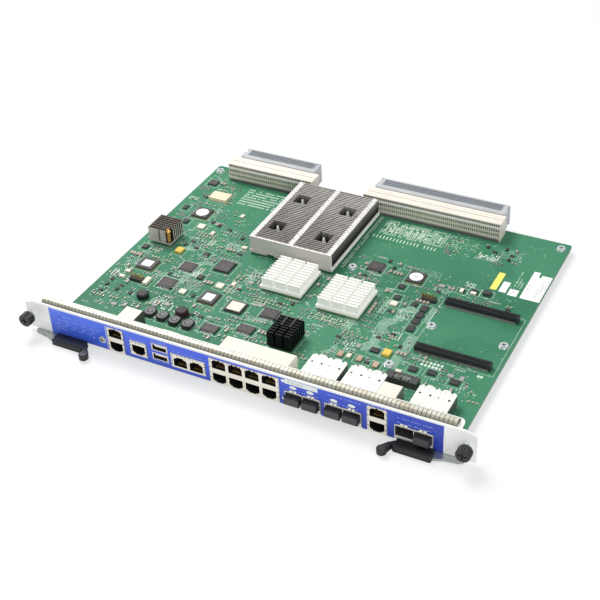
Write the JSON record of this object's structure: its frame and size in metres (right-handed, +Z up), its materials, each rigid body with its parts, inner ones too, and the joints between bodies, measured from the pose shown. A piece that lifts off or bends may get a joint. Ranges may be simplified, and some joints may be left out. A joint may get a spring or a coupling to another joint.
{
  "type": "switch line card",
  "caption": "Network line card: long front panel with jack ports, ejector levers and captive screws, on a board with heat sinks and rear backplane connectors",
  "frame": {"origin": "Under the middle of the card's overall box, at the height of the surface it lies on", "axes": "+X along the front panel towards its right end as seen from the front, +Y from the panel towards the backplane connectors, +Z up from the component side"},
  "size_m": [0.3842, 0.312, 0.0324],
  "materials": {
    "board": "green solder mask, satin",
    "panel": "off-white painted sheet",
    "film": "blue printed film",
    "contact_metal": "tin-plated spring metal",
    "lever_metal": "zinc-plated sheet",
    "black_plastic": "moulded, satin",
    "cream_plastic": "moulded, satin",
    "grey_plastic": "moulded, satin",
    "jack_shell": "bright nickel-plated shield",
    "cage_metal": "bright nickel-plated sheet",
    "sink_metal": "brazed aluminium",
    "white_sink_metal": "clear anodised",
    "black_sink_metal": "black anodised",
    "chip_plastic": "moulded package",
    "chip_carrier": "laminate carrier",
    "screw_metal": "zinc-plated",
    "red_plastic": "moulded"
  },
  "bodies": {
    "card": {"circuit_board": "board", "front_panel": "panel", "panel_film": "film", "contact_strip": "contact_metal", "lever_rivet_left": "screw_metal", "lever_rivet_right": "screw_metal", "screw_sleeve_left": "screw_metal", "screw_sleeve_right": "screw_metal", "button_switch": "screw_metal", "stacked_jack_left": "jack_shell", "stacked_jack_right": "jack_shell", "jack_block": "jack_shell", "single_jack": "jack_shell", "double_jack": "jack_shell", "bus_ports": "jack_shell", "transceiver_cage_1": "cage_metal", "transceiver_cage_2": "cage_metal", "transceiver_cage_3": "cage_metal", "dust_plug_1": "black_plastic", "dust_plug_2": "black_plastic", "dust_plug_3": "black_plastic", "dust_plug_4": "black_plastic", "dust_plug_5": "black_plastic", "backplane_body_left": "cream_plastic", "backplane_body_right": "cream_plastic", "backplane_shroud_left": "grey_plastic", "backplane_shroud_right": "grey_plastic", "main_sink": "sink_metal", "main_sink_pins": "screw_metal", "main_sink_chip": "chip_plastic", "white_sink_left": "white_sink_metal", "white_sink_right": "white_sink_metal", "white_sink_chip_left": "chip_carrier", "white_sink_chip_right": "chip_carrier", "black_sink": "black_sink_metal", "black_sink_strap": "screw_metal", "black_sink_chip": "chip_carrier", "small_sink": "white_sink_metal", "small_sink_chip": "chip_carrier", "small_sink_post": "screw_metal", "mezzanine_front": "black_plastic", "mezzanine_rear": "black_plastic", "pin_header_left": "black_plastic", "pin_header_right": "black_plastic", "board_screws": "screw_metal", "square_chip": "chip_plastic", "round_label_chip_left": "chip_plastic", "round_label_chip_right": "chip_plastic", "white_label_chip": "chip_plastic", "clock_can": "cream_plastic", "transformer": "chip_plastic", "coil": "black_plastic", "beeper": "red_plastic"},
    "lever_left": {"lever_plate_left": "lever_metal", "lever_grip_left": "black_plastic"},
    "lever_right": {"lever_plate_right": "lever_metal", "lever_grip_right": "black_plastic"},
    "screw_left": {"captive_screw_left": "black_plastic"},
    "screw_right": {"captive_screw_right": "black_plastic"},
    "button": {"push_button": "cream_plastic"}
  },
  "joints": [
    {"name": "lever_left_turn", "type": "hinge", "parent": "card", "child": "lever_left", "pos_m": [-0.1681, -0.1275, 0.0017], "axis": [0, 0, -1], "range_deg": [0, 60]},
    {"name": "lever_right_turn", "type": "hinge", "parent": "card", "child": "lever_right", "pos_m": [0.1681, -0.1275, 0.0017], "axis": [0, 0, 1], "range_deg": [0, 60]},
    {"name": "screw_left_turn", "type": "hinge", "parent": "card", "child": "screw_left", "pos_m": [-0.1861, -0.1425, 0.0167], "axis": [0, 1, 0], "continuous": true},
    {"name": "screw_right_turn", "type": "hinge", "parent": "card", "child": "screw_right", "pos_m": [0.1861, -0.1425, 0.0167], "axis": [0, 1, 0], "continuous": true},
    {"name": "button_press", "type": "slide", "parent": "card", "child": "button", "axis": [0, 1, 0], "range_m": [0, 0.0008], "stiffness_N_per_m": 300}
  ]
}
